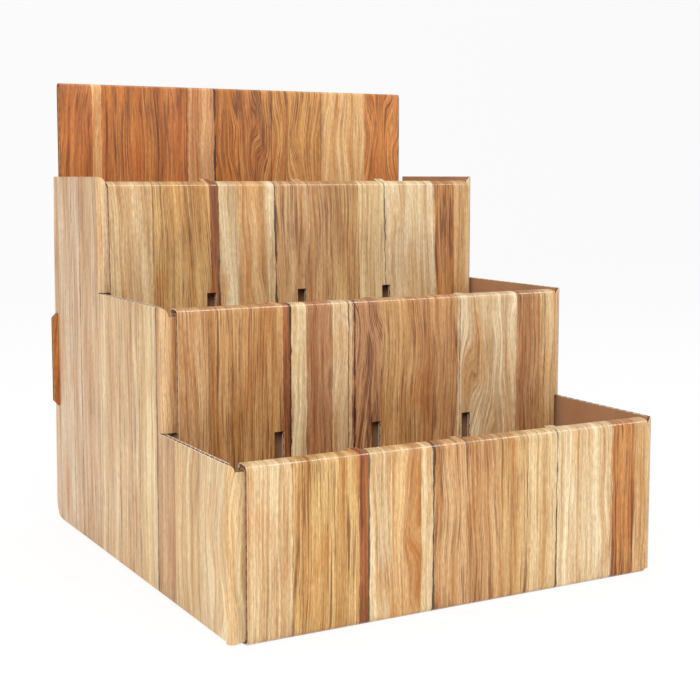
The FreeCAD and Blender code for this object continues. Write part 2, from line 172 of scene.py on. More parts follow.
# The plank print. A plank ends at its edge and has an ink tone, a strength of its
# grain lines and a curl of its grain. Edges and joints are in mm from the left, or
# from the front on the side walls. The front wall and the rear riser share one print.
Plank = namedtuple("Plank", "edge tone lines curl")
Joint = namedtuple("Joint", "at width")
SHOP_PLANKS = (
    Plank(edge=34, tone="#D7BB8C", lines=0.35, curl=0.1),
    Plank(edge=73, tone="#D0AB6B", lines=0.8, curl=0.1),
    Plank(edge=79, tone="#A96A34", lines=0.95, curl=0.1),
    Plank(edge=93, tone="#DFCCA4", lines=0.3, curl=0.3),
    Plank(edge=111, tone="#D3A45A", lines=0.25, curl=0.6),
    Plank(edge=120, tone="#E1CFA5", lines=0.3, curl=0.3),
    Plank(edge=163, tone="#CDA572", lines=0.8, curl=0.3),
    Plank(edge=183, tone="#CDA76B", lines=0.7, curl=0.2),
    Plank(edge=204, tone="#DCC390", lines=0.4, curl=0.1),
    Plank(edge=244, tone="#E1CFA9", lines=0.25, curl=0.25),
    Plank(edge=261, tone="#CE985B", lines=1.0, curl=0.1),
    Plank(edge=281, tone="#D7B379", lines=0.5, curl=0.2),
)
SHOP_JOINTS = (
    Joint(at=34, width=0.5),
    Joint(at=40, width=0.5),
    Joint(at=79.3, width=0.9),
    Joint(at=120, width=1.3),
    Joint(at=183, width=0.5),
    Joint(at=204, width=0.9),
    Joint(at=244, width=0.5),
)
MIDDLE_PLANKS = (
    Plank(edge=27, tone="#C79C65", lines=0.6, curl=0.1),
    Plank(edge=41, tone="#C09053", lines=0.8, curl=0.1),
    Plank(edge=73, tone="#CB9F63", lines=0.85, curl=0.15),
    Plank(edge=78, tone="#A76730", lines=0.95, curl=0.1),
    Plank(edge=88, tone="#DCC89A", lines=0.3, curl=0.3),
    Plank(edge=106, tone="#AE7843", lines=0.6, curl=0.8),
    Plank(edge=119, tone="#D4B789", lines=0.3, curl=0.3),
    Plank(edge=140, tone="#C2966D", lines=1.0, curl=0.9),
    Plank(edge=165, tone="#CA9F64", lines=0.8, curl=0.2),
    Plank(edge=195, tone="#C3945F", lines=0.8, curl=0.35),
    Plank(edge=240, tone="#D6C09A", lines=0.4, curl=0.8),
    Plank(edge=258, tone="#C09465", lines=0.9, curl=0.3),
    Plank(edge=281, tone="#D4B582", lines=0.4, curl=0.2),
)
MIDDLE_JOINTS = (
    Joint(at=27, width=0.5),
    Joint(at=41, width=0.4),
    Joint(at=78.4, width=1.0),
    Joint(at=117.2, width=0.8),
    Joint(at=121.4, width=1.0),
    Joint(at=197, width=0.6),
    Joint(at=263, width=0.6),
)
HEADER_PLANKS = (
    Plank(edge=26, tone="#CB7A2B", lines=0.85, curl=0.7),
    Plank(edge=32, tone="#E7AA57", lines=0.2, curl=0.4),
    Plank(edge=67, tone="#D28434", lines=0.9, curl=0.2),
    Plank(edge=75, tone="#C47A2F", lines=0.95, curl=0.2),
    Plank(edge=96, tone="#CD7C2E", lines=0.85, curl=0.2),
    Plank(edge=117, tone="#D29046", lines=0.4, curl=0.3),
    Plank(edge=135, tone="#D58C3C", lines=1.0, curl=1.0),
    Plank(edge=162, tone="#CE9051", lines=1.0, curl=0.6),
    Plank(edge=203, tone="#D9A055", lines=0.8, curl=0.6),
    Plank(edge=240, tone="#EABD78", lines=0.4, curl=0.4),
    Plank(edge=281, tone="#DC9240", lines=0.85, curl=0.9),
)
HEADER_JOINTS = (
    Joint(at=50, width=0.5),
    Joint(at=74, width=0.6),
    Joint(at=95.5, width=0.7),
    Joint(at=117, width=1.4),
    Joint(at=162, width=0.6),
    Joint(at=203, width=0.5),
    Joint(at=240, width=0.4),
)
SIDE_PLANKS = (
    Plank(edge=40, tone="#F2DEB0", lines=0.3, curl=0.7),
    Plank(edge=75, tone="#E9CC93", lines=0.5, curl=0.4),
    Plank(edge=101, tone="#D3A76F", lines=0.6, curl=0.15),
    Plank(edge=129, tone="#F0D8A3", lines=0.4, curl=0.1),
    Plank(edge=163, tone="#E8C897", lines=0.6, curl=0.1),
    Plank(edge=200, tone="#EBD1A5", lines=0.4, curl=0.1),
    Plank(edge=236, tone="#E1BF96", lines=0.6, curl=0.15),
    Plank(edge=300, tone="#E7CDAD", lines=0.4, curl=0.1),
)
SIDE_JOINTS = (
    Joint(at=101, width=1.3),
    Joint(at=129, width=0.8),
    Joint(at=142, width=0.7),
    Joint(at=163, width=0.7),
    Joint(at=235, width=0.9),
    Joint(at=252, width=0.8),
)


# Folded paths and sheets

def trace(corners, step):
    """Samples along a path of straight legs and round corners. Each corner is
    (a, b) or (a, b, radius). A sample is (point, way to the kraft side, distance
    run, whether it lies on a crest); the kraft side is on the path's right."""
    spots = [Vector(corner[:2]) for corner in corners]
    arcs = [None] * len(spots)
    for i, corner in enumerate(corners):
        if len(corner) == 3:
            towards = (spots[i] - spots[i - 1]).normalized()
            away = (spots[i + 1] - spots[i]).normalized()
            turn = math.atan2(towards.cross(away), towards.dot(away))
            reach = corner[2] * math.tan(abs(turn) / 2)
            arcs[i] = (spots[i] - towards * reach, spots[i] + away * reach, turn, corner[2])
    samples, run = [], 0.0
    for i in range(len(spots) - 1):
        start = arcs[i][1] if arcs[i] else spots[i]
        end = arcs[i + 1][0] if arcs[i + 1] else spots[i + 1]
        ahead = (end - start).normalized()
        kraft_side = Vector((ahead.y, -ahead.x))
        pieces = max(1, math.ceil((end - start).length / step))
        for k in range(pieces + 1):
            share = k / pieces
            samples.append((start.lerp(end, share), kraft_side, run + share * (end - start).length, False))
        run += (end - start).length
        if arcs[i + 1]:
            first, _, turn, radius = arcs[i + 1]
            left = Vector((-ahead.y, ahead.x)) * math.copysign(1, turn)
            centre = first + left * radius
            pieces = max(ARC_PIECES, math.ceil(abs(turn) * radius / step))
            for k in range(1, pieces):
                angle = turn * k / pieces
                spoke = -left
                spoke = Vector((
                    spoke.x * math.cos(angle) - spoke.y * math.sin(angle),
                    spoke.x * math.sin(angle) + spoke.y * math.cos(angle),
                ))
                kraft_side = spoke * math.copysign(1, turn)
                distance = run + abs(turn) * radius * k / pieces
                crest = abs(k / pieces - 0.5) < CREST_SHARE
                samples.append((centre + spoke * radius, kraft_side, distance, crest))
            run += abs(turn) * radius
    return samples


def place(across, back, up):
    """A point of the layout, in metres in the frame."""
    return Vector((tray_low.x + across * MM, tray_low.y + back * MM, tray_low.z + up * MM))


def side_view(point, depth):
    return place(depth, point.x, point.y)


def front_view(point, depth):
    return place(point.x, depth, point.y)


def floor_plan(point, depth):
    return place(point.x, point.y, depth)


def right_side_plan(point, depth):
    return place(across_mm(tray_high.x) - point.x, point.y, depth)


def sheet(name, samples, widths, low, high, view, faces):
    """One closed sheet between two offsets from a path. widths(point) gives the
    places across the path, low and high the offsets there, and faces the material
    slots of the outside, of a crease's outside, of the inside and of the edges."""
    outside, in_fold, inside, edge = faces
    shell = bmesh.new()
    skins = []
    for offset in (low, high):
        rows = []
        for point, kraft_side, run, _ in samples:
            row = []
            for depth in widths(point):
                spot = point + kraft_side * offset(run, depth)
                row.append(shell.verts.new(view(spot, depth)))
            rows.append(row)
        skins.append(rows)
    count, across = len(samples), len(skins[0][0])
    for i in range(count - 1):
        # Crest faces take the crease finish, with its cracked print and painted highlight.
        folded = samples[i][3] and samples[i + 1][3]
        for j in range(across - 1):
            for rows, slot in ((skins[0], in_fold if folded else outside), (skins[1], inside)):
                corners = (rows[i][j], rows[i + 1][j], rows[i + 1][j + 1], rows[i][j + 1])
                shell.faces.new(corners).material_index = slot
        for j in (0, across - 1):
            corners = (skins[0][i][j], skins[1][i][j], skins[1][i + 1][j], skins[0][i + 1][j])
            shell.faces.new(corners).material_index = edge
    for i in (0, count - 1):
        for j in range(across - 1):
            corners = (skins[0][i][j], skins[0][i][j + 1], skins[1][i][j + 1], skins[1][i][j])
            shell.faces.new(corners).material_index = edge
    bmesh.ops.recalc_face_normals(shell, faces=shell.faces)
    mesh = bpy.data.meshes.new(name)
    shell.to_mesh(mesh)
    shell.free()
    return mesh


def board(name, corners, widths, view, flutes_run, slots, sizes):
    """The three layers of a folded board along a path. flutes_run is "out" where
    the flutes run across the path, and "along" where they run with it."""
    # The second slot is the crease finish: cracked print with a painted highlight on the fold crests.
    printed, crack_and_highlight, torn, medium, kraft = slots
    half_room = (sizes.board - 2 * sizes.liner - sizes.medium) / 2
    middle = sizes.board / 2

    def wave(run, depth):
        distance = run if flutes_run == "out" else depth
        return half_room * math.cos(2 * math.pi * distance / sizes.flute)

    fine = sizes.flute / 12
    coarse = trace(corners, LEG_STEP)
    wavy = trace(corners, fine) if flutes_run == "out" else coarse
    reached = widths(wavy[0][0])
    fluted_widths = widths
    if flutes_run == "along":
        pieces = math.ceil((reached[1] - reached[0]) / fine)
        stops = [reached[0] + (reached[1] - reached[0]) * k / pieces for k in range(pieces + 1)]

        def fluted_widths(point):
            return stops

    return [
        sheet(name + "_print", coarse, widths, lambda r, d: 0.0, lambda r, d: sizes.liner,
              view, (printed, crack_and_highlight, torn, torn)),
        sheet(name + "_medium", wavy, fluted_widths,
              lambda r, d: middle + wave(r, d) - sizes.medium / 2,
              lambda r, d: middle + wave(r, d) + sizes.medium / 2,
              view, (medium, medium, medium, medium)),
        sheet(name + "_kraft", coarse, widths, lambda r, d: sizes.board - sizes.liner,
              lambda r, d: sizes.board, view, (kraft, kraft, kraft, kraft)),
    ]


def prism(name, outline, depths, view, slot):
    """A closed prism over an outline, used as a cutter or a small solid piece."""
    shell = bmesh.new()
    ends = [[shell.verts.new(view(Vector(p), depth)) for p in outline] for depth in depths]
    for end in ends:
        shell.faces.new(end)
    for i in range(len(outline)):
        j = (i + 1) % len(outline)
        shell.faces.new((ends[0][i], ends[0][j], ends[1][j], ends[1][i]))
    for face in shell.faces:
        face.material_index = slot
    bmesh.ops.recalc_face_normals(shell, faces=shell.faces)
    mesh = bpy.data.meshes.new(name)
    shell.to_mesh(mesh)
    shell.free()
    return mesh


def cutting_box(name, low, high, slot):
    outline = [(low[1], low[2]), (high[1], low[2]), (high[1], high[2]), (low[1], high[2])]
    return prism(name, outline, (low[0], high[0]), side_view, slot)


def carve(mesh, cutters, finishes):
    """The mesh with the cutters taken away."""
    body = bpy.data.objects.new("carved", mesh)
    bpy.context.collection.objects.link(body)
    helpers = []
    for finish in finishes:
        mesh.materials.append(finish)
    for cutter in cutters:
        tool_mesh = cutter.copy()
        for finish in finishes:
            tool_mesh.materials.append(finish)
        tool = bpy.data.objects.new("cutter", tool_mesh)
        bpy.context.collection.objects.link(tool)
        helpers.append(tool)
        modifier = body.modifiers.new("cut", "BOOLEAN")
        modifier.operation = "DIFFERENCE"
        modifier.solver = "EXACT"
        modifier.material_mode = "INDEX"
        modifier.object = tool
    bpy.context.view_layer.update()
    evaluated = body.evaluated_get(bpy.context.evaluated_depsgraph_get())
    result = bpy.data.meshes.new_from_object(evaluated)
    for thing in [body, *helpers]:
        bpy.data.objects.remove(thing)
    return result


def assemble(name, meshes, finishes, node):
    """One object from its layers, riding on the frame in the CAD node's stead."""
    whole = bmesh.new()
    for mesh in meshes:
        whole.from_mesh(mesh)
    joined = bpy.data.meshes.new(name)
    whole.to_mesh(joined)
    whole.free()
    for finish in finishes:
        joined.materials.append(finish)
    joined.polygons.foreach_set("use_smooth", [True] * len(joined.polygons))
    joined.set_sharp_from_angle(angle=math.radians(28))
    piece = bpy.data.objects.new(name, joined)
    bpy.context.collection.objects.link(piece)
    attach(piece, "root")
    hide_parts(node)
    return piece


# Materials

def add(tree, kind, inputs=None, **settings):
    """Adds a node, sets its properties, and fills or links its inputs."""
    made = tree.nodes.new(kind)
    for key, value in settings.items():
        setattr(made, key, value)
    for key, value in (inputs or {}).items():
        if isinstance(value, bpy.types.Node):
            value = value.outputs[0]
        if isinstance(value, bpy.types.NodeSocket):
            tree.links.new(value, made.inputs[key])
        else:
            made.inputs[key].default_value = value
    return made


def new_finish(name):
    finish = bpy.data.materials.new(name)
    finish.use_nodes = True
    tree = finish.node_tree
    shader = tree.nodes["Principled BSDF"]
    return finish, tree, shader


def layout_coordinates(tree):
    """Across, back and up in millimetres, from the object's own coordinates."""
    where = add(tree, "ShaderNodeTexCoord")
    split = add(tree, "ShaderNodeSeparateXYZ", {0: where.outputs["Object"]})
    coordinates = []
    for i, origin in enumerate(tray_low):
        metres = add(tree, "ShaderNodeMath", {0: split.outputs[i], 1: origin}, operation="SUBTRACT")
        millimetres = add(tree, "ShaderNodeMath", {0: metres, 1: 1 / MM}, operation="MULTIPLY")
        coordinates.append(millimetres)
    return coordinates


def fibres(tree, across, along, width, run, seed, detail=3.0, distortion=0.0):
    """Noise drawn out along the grain: width and run are one cell's size in mm."""
    a = add(tree, "ShaderNodeMath", {0: across, 1: 1 / width}, operation="MULTIPLY")
    b = add(tree, "ShaderNodeMath", {0: along, 1: 1 / run}, operation="MULTIPLY")
    spot = add(tree, "ShaderNodeCombineXYZ", {0: a, 1: b, 2: float(seed)})
    return add(tree, "ShaderNodeTexNoise", {
        "Vector": spot, "Scale": 1.0, "Detail": detail, "Roughness": 0.6, "Distortion": distortion,
    })


def plank_ramp(tree, across, planks, span, shade):
    """Each plank's own shade(plank), held from edge to edge."""
    share = add(tree, "ShaderNodeMath", {0: across, 1: 1 / span}, operation="MULTIPLY")
    ramp = add(tree, "ShaderNodeValToRGB", {0: share})
    ramp.color_ramp.interpolation = "CONSTANT"
    stops = ramp.color_ramp.elements
    start = 0.0
    for i, plank in enumerate(planks):
        stop = stops[i] if i < 2 else stops.new(start / span)
        stop.position = start / span
        stop.color = shade(plank)
        start = plank.edge
    return ramp


def joint_lines(tree, across, joints, swell):
    """One inside any joint and nought elsewhere; swell varies each joint's width."""
    inside = 0.0
    for joint in joints:
        half = add(tree, "ShaderNodeMath", {0: swell, 1: joint.width / 2}, operation="MULTIPLY")
        hit = add(tree, "ShaderNodeMath", {0: across, 1: joint.at, 2: half}, operation="COMPARE")
        hit = add(tree, "ShaderNodeMath", {0: hit, 1: min(1.0, joint.width)}, operation="MULTIPLY")
        inside = add(tree, "ShaderNodeMath", {0: hit, 1: inside}, operation="MAXIMUM")
    return inside


def print_directions(tree, side):
    """Where a point lies across the planks and along them, as on the flat blank.
    The side walls' print runs on around their front folds onto the flaps, and
    under the floor, which is all that lies within a skin of the ground."""
    left, back, up = layout_coordinates(tree)
    if not side:
        return left, add(tree, "ShaderNodeMath", {0: up, 1: back}, operation="SUBTRACT")
    centre = across_mm(tray_high.x) / 2
    skin = 0.6
    off_middle = add(tree, "ShaderNodeMath", {0: left, 1: centre}, operation="SUBTRACT")
    out = add(tree, "ShaderNodeMath", {0: off_middle}, operation="ABSOLUTE")
    inwards = add(tree, "ShaderNodeMath", {0: centre, 1: out}, operation="SUBTRACT")
    beneath = add(tree, "ShaderNodeMath", {0: up, 1: skin}, operation="LESS_THAN")
    under = add(tree, "ShaderNodeMath", {0: beneath, 1: inwards}, operation="MULTIPLY")
    flap = add(tree, "ShaderNodeMath", {0: inwards, 1: under}, operation="SUBTRACT")
    across = add(tree, "ShaderNodeMath", {0: back, 1: flap}, operation="SUBTRACT")
    return across, add(tree, "ShaderNodeMath", {0: up, 1: under}, operation="SUBTRACT")


def swayed_grain(tree, across, along, planks, span, seed):
    """The place across the planks, bent by a slow sway and by each plank's curl."""
    sway = fibres(tree, across, along, 45.0, 160.0, seed, 1.0)
    sway_mm = add(tree, "ShaderNodeMapRange", {0: sway, 1: 0.3, 2: 0.7, 3: -2.2, 4: 2.2})
    curl = plank_ramp(tree, across, planks, span, lambda plank: (plank.curl, plank.curl, plank.curl, 1.0))
    swirl = fibres(tree, across, along, 24.0, 75.0, seed + 5, 1.0)
    swirl_mm = add(tree, "ShaderNodeMapRange", {0: swirl, 1: 0.3, 2: 0.7, 3: -7.0, 4: 7.0})
    bend = add(tree, "ShaderNodeMath", {0: curl, 1: swirl_mm, 2: sway_mm}, operation="MULTIPLY_ADD")
    return add(tree, "ShaderNodeMath", {0: across, 1: bend}, operation="ADD")


def toned_wood(tree, tone, swayed, along, colours, seed):
    """A plank's tone, darkened, paled and warmed along its grain."""
    broad = fibres(tree, swayed, along, 8.0, 260.0, seed + 11, 2.0)
    broad = add(tree, "ShaderNodeMapRange", {0: broad, 1: 0.36, 2: 0.64})
    narrow = fibres(tree, swayed, along, 1.3, 60.0, seed + 23, 3.0)
    narrow = add(tree, "ShaderNodeMapRange", {0: narrow, 1: 0.34, 2: 0.66})
    mixed = add(tree, "ShaderNodeMix", {0: 0.5, 2: broad, 3: narrow})
    deep = add(tree, "ShaderNodeMix", {0: 1.0, 6: tone, 7: colours.heart},
               data_type="RGBA", blend_type="MULTIPLY")
    strength = tone.outputs["Alpha"]
    paleness = add(tree, "ShaderNodeMath", {0: strength, 1: -0.42, 2: 0.44}, operation="MULTIPLY_ADD")
    light = add(tree, "ShaderNodeMix", {0: paleness, 6: tone, 7: colours.pale}, data_type="RGBA")
    wood = add(tree, "ShaderNodeMix", {0: mixed, 6: deep.outputs[2], 7: light.outputs[2]},
               data_type="RGBA")
    flames = fibres(tree, swayed, along, 16.0, 70.0, seed + 41, 2.0, 0.6)
    flame = add(tree, "ShaderNodeMapRange", {0: flames, 1: 0.52, 2: 0.7, 3: 0.0, 4: 0.5})
    return add(tree, "ShaderNodeMix", {0: flame, 6: wood.outputs[2], 7: colours.flame},
               data_type="RGBA", blend_type="MULTIPLY")


def grain_lines(tree, wood, strength, ways, streak, seed, cell, run, half, depth, weakest=0.0):
    """Dark lines where a noise of cell by run mm crosses its middle, broken here and
    there. half is their half width in noise and depth how dark they are; planks
    whose strength is under the weakest have none."""
    across, swayed, along = ways
    contour = fibres(tree, swayed, along, cell, run, seed, 1.0)
    off = add(tree, "ShaderNodeMath", {0: contour, 1: 0.5}, operation="SUBTRACT")
    off = add(tree, "ShaderNodeMath", {0: off}, operation="ABSOLUTE")
    line = add(tree, "ShaderNodeMapRange", {0: off, 1: 0.2 * half, 2: half, 3: depth, 4: 0.0})
    broken = fibres(tree, across, along, 5.0, 50.0, seed + 16, 2.0)
    kept = add(tree, "ShaderNodeMapRange", {0: broken, 1: 0.4, 2: 0.6})
    weight = add(tree, "ShaderNodeMapRange", {0: strength, 1: weakest, 2: 1.0})
    line = add(tree, "ShaderNodeMath", {0: line, 1: kept}, operation="MULTIPLY")
    line = add(tree, "ShaderNodeMath", {0: line, 1: weight}, operation="MULTIPLY")
    return add(tree, "ShaderNodeMix", {0: line, 6: wood.outputs[2], 7: streak}, data_type="RGBA")


def plank_print(name, planks, joints, colours, sizes, seed, side=False, crack_and_highlight=0.0):
    """White-topped paper liner, flexo printed with planks and lightly varnished:
    the eye sees satin ink, the grain's streaks and a faint washboard of flutes."""
    finish, tree, shader = new_finish(name)
    across, along = print_directions(tree, side)
    span = planks[-1].edge
    swayed = swayed_grain(tree, across, along, planks, span, seed)
    tremble = fibres(tree, across, along, 3.0, 9.0, seed + 3, 3.0)
    edge_shift = add(tree, "ShaderNodeMapRange", {0: tremble, 1: 0.3, 2: 0.7, 3: -0.4, 4: 0.4})
    edged = add(tree, "ShaderNodeMath", {0: across, 1: edge_shift}, operation="ADD")
    tone = plank_ramp(tree, edged, planks, span, lambda plank: (*linear(plank.tone)[:3], plank.lines))
    strength = tone.outputs["Alpha"]
    wood = toned_wood(tree, tone, swayed, along, colours, seed)
    ways = (across, swayed, along)
    # Two sets of fine lines on every plank, and broad bands on the strongest.
    wood = grain_lines(tree, wood, strength, ways, colours.streak, seed + 51,
                       cell=3.2, run=300.0, half=0.036, depth=1.0)
    wood = grain_lines(tree, wood, strength, ways, colours.streak, seed + 57,
                       cell=1.1, run=90.0, half=0.055, depth=0.9)
    wood = grain_lines(tree, wood, strength, ways, colours.streak, seed + 61,
                       cell=2.6, run=170.0, half=0.065, depth=0.85, weakest=0.8)
    pores = fibres(tree, across, along, 0.5, 4.5, seed + 37, 2.0)
    pitted = add(tree, "ShaderNodeMapRange", {0: pores, 1: 0.3, 2: 0.7, 3: 0.74, 4: 1.2})
    streaked = add(tree, "ShaderNodeVectorMath", {0: wood.outputs[2], "Scale": pitted}, operation="SCALE")
    swell = fibres(tree, across, along, 9.0, 30.0, seed + 71, 2.0)
    swell = add(tree, "ShaderNodeMapRange", {0: swell, 1: 0.35, 2: 0.6, 3: 0.4, 4: 1.4})
    notch = joint_lines(tree, edged, joints, swell)
    notched = add(tree, "ShaderNodeMath", {0: notch, 1: 0.88}, operation="MULTIPLY")
    inked = add(tree, "ShaderNodeMix", {0: notched, 6: streaked, 7: colours.joint}, data_type="RGBA")
    # Crease faces are paled in flecks towards the white liner: partly the print cracked along the score,
    # partly a painted highlight where the fold catches the light.
    if crack_and_highlight:
        crack_and_glint_noise = fibres(tree, across, along, 2.2, 2.2, seed + 83, 3.0)
        crack_and_highlight_share = add(tree, "ShaderNodeMapRange", {0: crack_and_glint_noise, 1: 0.42, 2: 0.62, 3: 0.25 * crack_and_highlight, 4: crack_and_highlight})
        inked = add(tree, "ShaderNodeMix", {0: crack_and_highlight_share, 6: inked.outputs[2], 7: colours.torn},
                    data_type="RGBA")
    turns = 2 * math.pi / sizes.flute
    phase = add(tree, "ShaderNodeMath", {0: across if side else along, 1: turns}, operation="MULTIPLY")
    washboard = add(tree, "ShaderNodeMath", {0: phase}, operation="SINE")
    mottle = fibres(tree, across, along, 14.0, 14.0, seed + 91, 2.0)
    height = add(tree, "ShaderNodeMath", {0: washboard, 1: 0.03, 2: mottle}, operation="MULTIPLY_ADD")
    bump = add(tree, "ShaderNodeBump", {"Height": height, "Strength": 0.35, "Distance": 0.25 * MM})
    tree.links.new(inked.outputs[2], shader.inputs["Base Color"])
    tree.links.new(bump.outputs[0], shader.inputs["Normal"])
    # The side walls have a little more sheen than the fronts.
    shader.inputs["Roughness"].default_value = 0.42
    shader.inputs["IOR"].default_value = 1.48
    shader.inputs["Specular IOR Level"].default_value = 0.5 if side else 0.28
    return finish


def rough_paper(name, tone):
    """Unprinted paper off the mill: the eye sees a matt face with darker and paler
    fibres and faint clouds."""
    finish, tree, shader = new_finish(name)
    left, back, up = layout_coordinates(tree)
    spot = add(tree, "ShaderNodeCombineXYZ", {0: left, 1: back, 2: up})
    specks = add(tree, "ShaderNodeTexNoise", {"Vector": spot, "Scale": 1.6, "Detail": 4.0})
    clouds = add(tree, "ShaderNodeTexNoise", {"Vector": spot, "Scale": 0.05, "Detail": 2.0})
    shade = add(tree, "ShaderNodeMix", {0: 0.4, 2: specks, 3: clouds})
    strength = add(tree, "ShaderNodeMapRange", {0: shade, 1: 0.35, 2: 0.65, 3: 0.82, 4: 1.14})
    dyed = add(tree, "ShaderNodeVectorMath", {0: tone[:3], "Scale": strength}, operation="SCALE")
    bump = add(tree, "ShaderNodeBump", {"Height": specks, "Strength": 0.4, "Distance": 0.1 * MM})
    tree.links.new(dyed.outputs[0], shader.inputs["Base Color"])
    tree.links.new(bump.outputs[0], shader.inputs["Normal"])
    shader.inputs["Roughness"].default_value = 0.9
    shader.inputs["Specular IOR Level"].default_value = 0.25
    return finish


def studio_white(name, tone):
    """White painted board: the eye sees it matt and nearly evenly lit, with the
    object's shadow still on it."""
    finish, tree, shader = new_finish(name)
    shader.inputs["Base Color"].default_value = tone
    shader.inputs["Roughness"].default_value = 0.9
    glow = add(tree, "ShaderNodeEmission", {"Color": (1, 1, 1, 1), "Strength": 1.0})
    rays = add(tree, "ShaderNodeLightPath")
    evenness = 0.88
    seen = add(tree, "ShaderNodeMath", {0: rays.outputs["Is Camera Ray"], 1: evenness},
               operation="MULTIPLY")
    both = add(tree, "ShaderNodeMixShader", {0: seen, 1: shader, 2: glow})
    tree.links.new(both.outputs[0], tree.nodes["Material Output"].inputs["Surface"])
    return finish


def shared_papers(colours):
    """The cut liner, the corrugated medium and the kraft liner, each made only once."""
    papers = {
        "die_cut_white_liner": colours.torn,
        "corrugated_recycled_medium": colours.medium,
        "unprinted_kraft_liner": colours.kraft,
    }
    return [bpy.data.materials.get(name) or rough_paper(name, tone) for name, tone in papers.items()]


# Layout shared by several pieces

class Layout:
    """Places that follow from the sizes and the frame."""

    def __init__(self, sizes):
        self.width = across_mm(tray_high.x)
        self.depth = sizes.depth
        self.top = up_mm(tray_high.z)
        self.fold_out = sizes.board + sizes.fold
        self.layers = 2 * sizes.board + sizes.slip
        self.riser_2_front = back_mm(riser_2_low.y)
        self.riser_3_front = back_mm(riser_3_low.y)
        self.riser_3_crease_at = self.riser_3_front + sizes.riser_3_setback
        self.flaps = (
            sizes.board + sizes.flap_room,
            self.riser_2_front + sizes.board + sizes.flap_room,
            self.riser_3_crease_at + sizes.board + 2 * sizes.slip,
        )
        self.rolls = tuple(flap + self.layers for flap in self.flaps)
        self.card_front = back_mm(header_low.y)
        self.card_rear = back_mm(header_high.y)
        self.seat = self.card_front - sizes.slip


def slot_middle(layout, sizes, shift, column):
    return layout.width / 2 + shift + column * sizes.slot_pitch


def slot_cutters(layout, sizes, shift, backs, ups, slot):
    cutters = []
    for column in SLOT_COLUMNS:
        middle = slot_middle(layout, sizes, shift, column)
        low = (middle - sizes.slot_width / 2, backs[0], ups[0])
        high = (middle + sizes.slot_width / 2, backs[1], ups[1])
        cutters.append(cutting_box("slot_cutter", low, high, slot))
    return cutters


def roll_lips(layout, sizes, shift, front, roll, crease, rise, slots):
    """The flat strips of the roll that stand up between a slot's two cuts."""
    start = roll - layout.fold_out - 2 * sizes.slip
    top = crease + rise
    front_top = top - rise * (roll - start) / (roll - front)
    lips = []
    for column in SLOT_COLUMNS:
        middle = slot_middle(layout, sizes, shift, column)
        depths = (middle - sizes.slot_width / 2, middle + sizes.slot_width / 2)
        skin = [(start, front_top), (roll, top),
                (roll, top - sizes.liner), (start, front_top - sizes.liner)]
        body = [(start, front_top - sizes.liner), (roll, top - sizes.liner),
                (roll, top - sizes.board), (start, front_top - sizes.board)]
        lips.append(prism("lip_print", skin, depths, side_view, slots[0]))
        lips.append(prism("lip_medium", body, depths, side_view, slots[3]))
    return lips


def carve_all(meshes, cutters, finishes):
    return [carve(mesh, cutters, finishes) for mesh in meshes]


class StandOperator(bpy.types.Operator):
    """What the operators of the folded pieces share"""

    bl_options = {"REGISTER", "UNDO"}

    def parts(self, context):
        """The sizes in millimetres, the colours, and the places that follow."""
        kept = context.scene.stand_sizes
        sizes = SimpleNamespace(**{
            name: round(getattr(kept, name) / MM, 3) for name in StandSizes.__annotations__
        })
        return sizes, context.scene.stand_colours, Layout(sizes)


